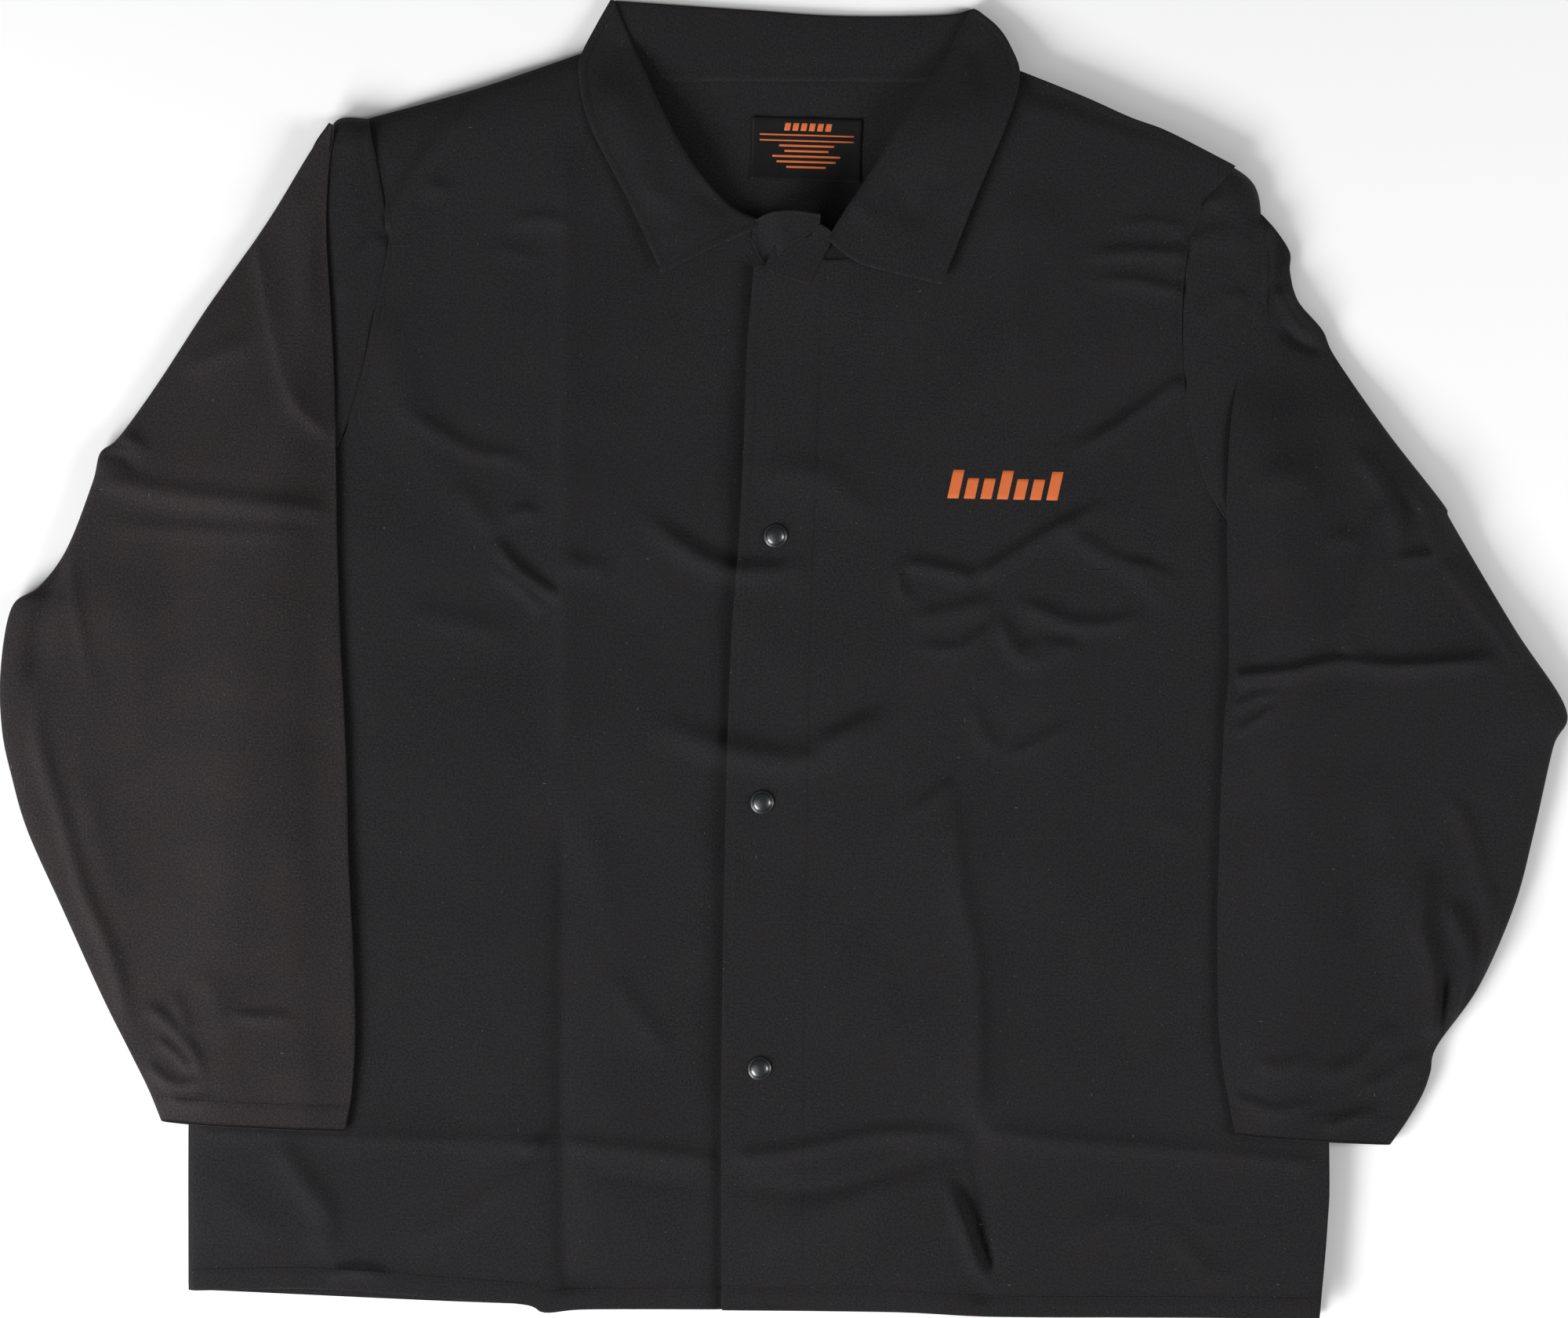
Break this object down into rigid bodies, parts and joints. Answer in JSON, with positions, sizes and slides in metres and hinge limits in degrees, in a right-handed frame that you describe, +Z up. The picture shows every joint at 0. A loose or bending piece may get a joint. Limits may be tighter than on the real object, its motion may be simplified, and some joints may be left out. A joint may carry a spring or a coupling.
{
  "type": "welding jacket",
  "caption": "Long-sleeved cotton welding jacket with a snap front, turn-down collar and throat latch, laid flat on its back with the sleeves folded down.",
  "frame": {"origin": "on the surface the jacket lies on, under the middle of its outline", "axes": "+Z up out of the jacket's front, +Y from the hem to the collar, +X towards the wearer's left sleeve"},
  "size_m": [0.972, 0.816, 0.0348],
  "materials": {
    "cotton": "matt black flame-resistant cotton twill with a faint sheen",
    "lining_cotton": "matt black cotton, wrong side",
    "snap_black": "glossy black enamel",
    "snap_steel": "plated spring steel",
    "hook_and_loop": "matt black hook-and-loop tape",
    "label": "woven black label with plain orange bars"
  },
  "bodies": {
    "body": {"back_panel": "cotton", "left_front": "cotton", "right_front": "cotton", "left_facing": "cotton", "right_facing": "cotton", "left_sleeve_head": "cotton", "right_sleeve_head": "cotton", "collar_stand_back": "cotton", "collar_fall_back": "cotton", "left_collar_stand": "cotton", "right_collar_stand": "cotton", "throat_tab": "cotton", "loop_patch": "hook_and_loop", "inside_pocket": "lining_cotton", "neck_label": "label", "top_snap_stud": "snap_steel", "top_snap_rivet": "snap_steel"},
    "left_front_flap": {"left_front_flap": "cotton", "left_facing_flap": "cotton", "top_snap_cap": "snap_black", "top_snap_socket": "snap_steel", "middle_snap_cap": "snap_black", "middle_snap_socket": "snap_steel", "bottom_snap_cap": "snap_black", "bottom_snap_socket": "snap_steel"},
    "right_front_flap": {"right_front_flap": "cotton", "right_facing_flap": "cotton", "middle_snap_stud": "snap_steel", "middle_snap_rivet": "snap_steel", "bottom_snap_stud": "snap_steel", "bottom_snap_rivet": "snap_steel"},
    "left_sleeve": {"left_top_sleeve": "cotton", "left_under_sleeve": "cotton"},
    "right_sleeve": {"right_top_sleeve": "cotton", "right_under_sleeve": "cotton"},
    "left_collar_leaf": {"left_top_collar": "cotton", "left_under_collar": "cotton"},
    "right_collar_leaf": {"right_top_collar": "cotton", "right_under_collar": "cotton"},
    "throat_latch": {"throat_strap": "cotton", "hook_patch": "hook_and_loop"}
  },
  "joints": [
    {"name": "left_front_opening", "type": "hinge", "parent": "body", "child": "left_front_flap", "pos_m": [0.0491, -0.0875, 0.022], "axis": [-0.211, 0.9775, 0], "range_deg": [0, 135]},
    {"name": "right_front_opening", "type": "hinge", "parent": "body", "child": "right_front_flap", "pos_m": [-0.0625, -0.172, 0.0154], "axis": [-0.3082, -0.9513, 0], "range_deg": [0, 68]},
    {"name": "left_sleeve_fold", "type": "hinge", "parent": "body", "child": "left_sleeve", "pos_m": [0.27, -0.0085, 0.021], "axis": [-0.021, -0.9998, 0], "range_deg": [0, 90]},
    {"name": "right_sleeve_fold", "type": "hinge", "parent": "body", "child": "right_sleeve", "pos_m": [-0.2715, 0.0195, 0.021], "axis": [-0.0273, 0.9996, 0], "range_deg": [0, 90]},
    {"name": "left_collar_roll", "type": "hinge", "parent": "body", "child": "left_collar_leaf", "pos_m": [0.0735, 0.3295, 0.025], "axis": [-0.5198, -0.8543, 0], "range_deg": [0, 80]},
    {"name": "right_collar_roll", "type": "hinge", "parent": "body", "child": "right_collar_leaf", "pos_m": [-0.058, 0.34, 0.0184], "axis": [-0.5603, 0.8283, 0], "range_deg": [0, 80]},
    {"name": "throat_latch_peel", "type": "hinge", "parent": "body", "child": "throat_latch", "pos_m": [-0.0094, 0.271, 0.0271], "axis": [0, -1, 0], "range_deg": [0, 85]}
  ],
  "couplings": [
    {"joint": "right_front_opening", "follows": "left_front_opening", "ratio": 0.5}
  ]
}
